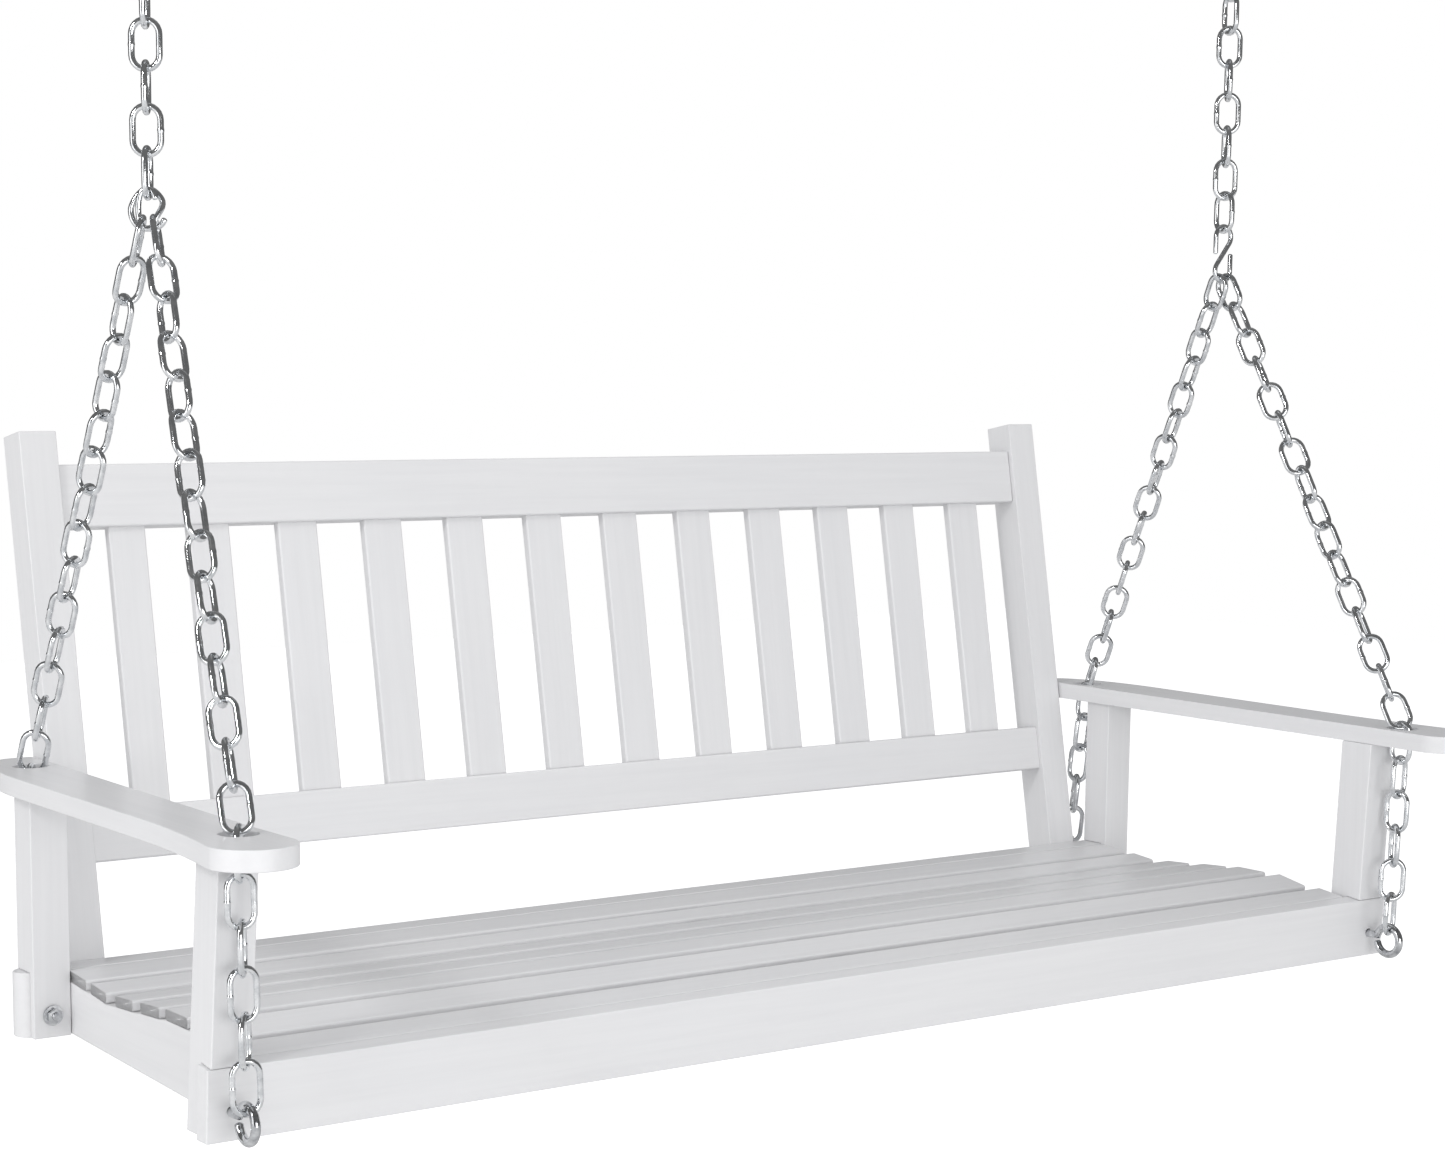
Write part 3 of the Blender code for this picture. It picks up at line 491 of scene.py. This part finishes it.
def make_lower_chain(end, side, sign):
    """From the connector through the arm's hole to the screw hook, twisting slowly above the arm."""
    hole_x, hole_y = HOLES[end]
    through = Vector((sign * hole_x, hole_y, arm_height(side, hole_y) + HOLE_BEARING_RISE[end]))
    offset = FIRST_LINK_OFFSET[side] if end == "front" else -FIRST_LINK_OFFSET[side]
    turn = math.radians(CONNECTOR_TURN[side])
    top = connector_span(side)[1] + offset * Vector((math.cos(turn), math.sin(turn), 0))
    top.z += FIRST_LINK_RISE[side]
    top -= (through - top).normalized() * connector_seat(side)
    hook_top = screw_hook_centre(end, side) + Vector((0, 0, SCREW_HOOK_RADIUS))
    low = hook_top - Vector((0, 0, SCREW_HOOK_WIRE))
    links = ABOVE_ARM_LINKS[side]
    below = BELOW_ARM_TURNS[side]
    bearings = spaced(top, through, links)[:-1] + spaced(through, low, len(below))
    twist = math.radians(TWIST_TO_ARM[end, side])
    rolls = [QUARTER_TURN * number - twist * number / (links - 1) for number in range(links)]
    rolls[0] -= math.radians(CONNECTOR_TURN[side])
    rolls += [math.radians(turn) for turn in below]
    make_chain(f"{end}_chain_{side}", bearings, rolls, 11 + sign)


# ---------------------------------------------------------------- fittings


def squared(value, power):
    return math.copysign(abs(value) ** power, value)


def make_lap_link():
    """An oval ring of wire wound twice; its rear turn is wider and squarer at the bottom."""
    top, low = connector_span("left")
    middle = (top + low) / 2
    facing = Matrix.Rotation(math.radians(CONNECTOR_TURN["left"]), 3, "Z")
    half_height = (top.z - low.z) / 2
    steps = 96
    points = []
    for step in range(steps + 1):
        angle = LAP_START + LAP_SWEEP * step / steps
        share = min(max((angle - LAP_CROSSING[0]) / LAP_CROSSING[1], 0), 1)
        ease = share * share * (3 - 2 * share)
        turn = math.radians(angle)
        flare = (1 - math.sin(turn)) / 2
        extra = LAP_REAR_EXTRA[0] + LAP_REAR_EXTRA[1] * min(2 * flare, 1)
        half_width = LAP_HALF_WIDTH + ease * extra
        x = half_width * squared(math.cos(turn), LAP_SQUARENESS[0])
        z = half_height * squared(math.sin(turn), LAP_SQUARENESS[1])
        points.append(middle + facing @ Vector((x, LAP_OFFSET * (2 * ease - 1), z)))
    points, radii = rounded_ends(points, CONNECTOR_WIRE)
    curve = new_wire("lap_link_left_wire", CONNECTOR_WIRE)
    add_run(curve, points, radii)
    add_piece(link_object("lap_link_left_wire", curve), ZINC, "lap_link_left", ["lap_link_left"])


def make_s_hook():
    top, low = connector_span("right")
    middle = (top + low) / 2
    radius = S_LOOP_RADIUS
    half = (top.z - low.z) / 2 - radius
    upper = arc((0, half), radius, 180, -35, 24)
    lower = arc((0, -half), radius, 145, 360, 24)
    outline = [(-radius, half - S_TIP_LENGTH)] + upper + lower + [(radius, S_TIP_LENGTH - half)]
    points, radii = rounded_ends([middle + Vector((x, 0, z)) for x, z in outline], CONNECTOR_WIRE)
    curve = new_wire("s_hook_right_wire", CONNECTOR_WIRE)
    add_run(curve, points, radii)
    add_piece(link_object("s_hook_right_wire", curve), ZINC, "s_hook_right", ["s_hook_right"])


def make_screw_hook(end, side):
    centre = screw_hook_centre(end, side)
    wood = 1 if end == "front" else -1
    start = 180 - math.degrees(math.asin(SHANK_RISE / SCREW_HOOK_RADIUS))
    ring = arc((0, 0), SCREW_HOOK_RADIUS, start, SCREW_RING_END, 48)
    outline = [(-SHANK_LENGTH, SHANK_RISE), (-SHANK_BEND, SHANK_RISE)] + ring
    points, radii = rounded_ends([centre + Vector((0, -wood * u, v)) for u, v in outline], SCREW_HOOK_WIRE)
    node = f"{end}_screw_hook_{side}"
    curve = new_wire(node + "_wire", SCREW_HOOK_WIRE)
    add_run(curve, points, radii)
    add_piece(link_object(node + "_wire", curve), DARK_ZINC, "seat", [node])


def make_ceiling_hook(side):
    """A plate with rounded corners and two screw holes, and the ring hook under it."""
    node = f"ceiling_hook_{side}"
    low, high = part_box(node)
    centre = Vector(((low.x + high.x) / 2, (low.y + high.y) / 2, high.z - PLATE_THICKNESS / 2))
    half_x = (high.x - low.x) / 2 - PLATE_CORNER
    half_y = (high.y - low.y) / 2 - PLATE_CORNER
    outline = []
    for number, (x, y) in enumerate(((1, 1), (-1, 1), (-1, -1), (1, -1))):
        start = 90 * number
        outline += arc((x * half_x, y * half_y), PLATE_CORNER, start, start + 90, 8)
    plate = bpy.data.curves.new(node + "_plate", "CURVE")
    plate.dimensions = "2D"
    plate.fill_mode = "BOTH"
    plate.extrude = PLATE_THICKNESS / 2 - PLATE_EDGE
    plate.bevel_depth = PLATE_EDGE
    plate.offset = -PLATE_EDGE
    add_run(plate, [(x, y, 0) for x, y in outline], None, True)
    for offset in (-1, 1):
        hole = arc((offset * SCREW_HOLE_SPACING / 2, 0), SCREW_HOLE_RADIUS + PLATE_EDGE, 0, 345, 23)
        add_run(plate, [(x, y, 0) for x, y in hole], None, True)
    item = link_object(node + "_plate", plate)
    item.location = centre
    add_piece(item, DARK_ZINC, "ceiling", [node])
    ring_centre = ceiling_wire(side) + Vector((0, 0, CEILING_RING_RADIUS))
    ring = arc((0, 0), CEILING_RING_RADIUS, 90, CEILING_RING_END, 48)
    outline = [(0, centre.z - ring_centre.z)] + ring
    points, radii = rounded_ends([ring_centre + Vector((x, 0, z)) for x, z in outline], CEILING_HOOK_WIRE)
    curve = new_wire(node + "_ring", CEILING_HOOK_WIRE)
    add_run(curve, points, radii)
    add_piece(link_object(node + "_ring", curve), DARK_ZINC, "ceiling")


def add_round(shape, sides, radius, z_low, z_high):
    """A prism or a cylinder about Z; returns its vertices."""
    made = bmesh.ops.create_cone(
        shape, cap_ends=True, segments=sides, radius1=radius, radius2=radius, depth=z_high - z_low,
        matrix=Matrix.Translation((0, 0, (z_low + z_high) / 2))
    )
    return made["verts"]


def ease_corners(shape, vertices, radius, lowest):
    """Rounds the sharp corners of a prism that lie higher than the given height."""
    corners = set()
    for vertex in vertices:
        corners.update(
            edge for edge in vertex.link_edges
            if edge.calc_face_angle(0) > CORNER_ANGLE and all(end.co.z > lowest for end in edge.verts)
        )
    bmesh.ops.bevel(
        shape, geom=list(corners), offset=radius, segments=3, profile=0.5, affect="EDGES"
    )


def make_bolt(node):
    """A round washer, a hex nut and the rounded end of the bolt; the rest is inside the wood."""
    low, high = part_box(node)
    place = Vector(((low.x + high.x) / 2, low.y + BOLT_END + NUT_HEIGHT, (low.z + high.z) / 2))
    depth = high.y - place.y
    shape = bmesh.new()
    end = add_round(shape, 24, BOLT_RADIUS, -depth, NUT_HEIGHT + BOLT_END)
    ease_corners(shape, end, 0.0013, 0)
    nut = add_round(shape, 6, NUT_RADIUS, 0, NUT_HEIGHT)
    ease_corners(shape, nut, 0.0009, NUT_HEIGHT / 2)
    washer = add_round(shape, 48, WASHER_RADIUS, -WASHER_THICKNESS, 0)
    ease_corners(shape, washer, 0.0005, -WASHER_THICKNESS / 2)
    mesh = bpy.data.meshes.new(node + "_hex")
    shape.to_mesh(mesh)
    shape.free()
    mesh.transform(Matrix.Rotation(QUARTER_TURN, 4, "X"))
    mesh.transform(Matrix.Translation(place))
    mesh.shade_smooth()
    mesh.set_sharp_from_angle(angle=CORNER_ANGLE)
    add_piece(link_object(node + "_hex", mesh), DARK_ZINC, "seat", [node])


def make_metal():
    make_lap_link()
    make_s_hook()
    for side, sign in SIDES:
        make_upper_chains(side, sign)
        make_ceiling_hook(side)
        for end in ("front", "rear"):
            make_lower_chain(end, side, sign)
            make_screw_hook(end, side)
        make_bolt(f"arm_post_bolt_{side}")
        make_bolt(f"back_post_bolt_{side}")


# ---------------------------------------------------------------- stage


def make_camera():
    data = bpy.data.cameras.new("camera")
    data.sensor_width = 36
    data.lens = CAMERA_LENS
    data.shift_x, data.shift_y = CAMERA_SHIFT
    camera = link_object("camera", data)
    forward = Vector((
        math.sin(CAMERA_YAW) * math.cos(CAMERA_PITCH),
        math.cos(CAMERA_YAW) * math.cos(CAMERA_PITCH),
        -math.sin(CAMERA_PITCH),
    ))
    level = Vector((math.cos(CAMERA_YAW), -math.sin(CAMERA_YAW), 0))
    upright = level.cross(forward)
    right = level * math.cos(CAMERA_ROLL) + upright * math.sin(CAMERA_ROLL)
    up = right.cross(forward)
    axes = Matrix((right, up, -forward)).transposed().to_4x4()
    camera.matrix_world = Matrix.Translation(CAMERA_PLACE) @ axes
    bpy.context.scene.camera = camera


def show_by_camera(tree, lighting, seen, output):
    """Lets the camera see one shader while the light in the scene comes from another."""
    path = tree.nodes.new("ShaderNodeLightPath")
    mixed = tree.nodes.new("ShaderNodeMixShader")
    tree.links.new(path.outputs["Is Camera Ray"], mixed.inputs["Fac"])
    tree.links.new(lighting, mixed.inputs[1])
    tree.links.new(seen, mixed.inputs[2])
    tree.links.new(mixed.outputs["Shader"], tree.nodes[output].inputs["Surface"])


def make_floor():
    bpy.ops.mesh.primitive_plane_add(size=FLOOR_SIZE, location=(0, 0, FLOOR_HEIGHT))
    floor = bpy.context.object
    floor.name = "floor"
    material = bpy.data.materials.new("pale_floor")
    material.use_nodes = True
    tree = material.node_tree
    matt = tree.nodes["Principled BSDF"]
    matt.inputs["Base Color"].default_value = (FLOOR_TONE, FLOOR_TONE, FLOOR_TONE, 1)
    matt.inputs["Roughness"].default_value = 0.9
    white = tree.nodes.new("ShaderNodeEmission")
    white.inputs["Strength"].default_value = FLOOR_GLOW
    seen_part = tree.nodes.new("ShaderNodeAddShader")
    tree.links.new(matt.outputs["BSDF"], seen_part.inputs[0])
    tree.links.new(white.outputs["Emission"], seen_part.inputs[1])
    show_by_camera(tree, matt.outputs["BSDF"], seen_part.outputs["Shader"], "Material Output")
    floor.data.materials.append(material)


def add_softbox(name, place, target, size, power):
    data = bpy.data.lights.new(name, "AREA")
    data.shape = "RECTANGLE"
    data.size, data.size_y = size
    data.energy = power
    light = link_object(name, data)
    light.location = place
    light.rotation_euler = (Vector(target) - Vector(place)).to_track_quat("-Z", "Y").to_euler()


def make_light():
    """A white backdrop, a surround that is dimmer still in reflections, and four softboxes."""
    world = bpy.data.worlds.new("studio")
    world.use_nodes = True
    bpy.context.scene.world = world
    tree = world.node_tree
    surround = tree.nodes["Background"]
    surround.inputs["Color"].default_value = (0.985, 0.990, 1.0, 1)
    surround.inputs["Strength"].default_value = SURROUND_STRENGTH
    backdrop = tree.nodes.new("ShaderNodeBackground")
    backdrop.inputs["Color"].default_value = (1, 1, 1, 1)
    backdrop.inputs["Strength"].default_value = 1.0
    dim_room = tree.nodes.new("ShaderNodeBackground")
    dim_room.inputs["Color"].default_value = (1, 1, 1, 1)
    dim_room.inputs["Strength"].default_value = REFLECTED_STRENGTH
    path = tree.nodes.new("ShaderNodeLightPath")
    reflected = tree.nodes.new("ShaderNodeMixShader")
    tree.links.new(path.outputs["Is Glossy Ray"], reflected.inputs["Fac"])
    tree.links.new(surround.outputs["Background"], reflected.inputs[1])
    tree.links.new(dim_room.outputs["Background"], reflected.inputs[2])
    show_by_camera(tree, reflected.outputs["Shader"], backdrop.outputs["Background"], "World Output")
    add_softbox("front_softbox", (-0.7, -4.4, 0.35), (0, 0, 0.3), (3.4, 1.6), 64)
    add_softbox("left_softbox", (-4.3, -0.5, 0.7), (0, 0, 0.3), (2.4, 2.0), 24)
    add_softbox("key_softbox", (-3.2, -0.8, 1.9), (-0.5, -0.1, 0.1), (0.45, 0.45), 22)
    add_softbox("top_softbox", (0.6, 0.6, 3.6), (0, 0, 0.2), (2.6, 2.0), 2)
    bpy.context.scene.view_settings.view_transform = "Standard"


make_boards()
make_metal()
make_camera()
make_floor()
make_light()
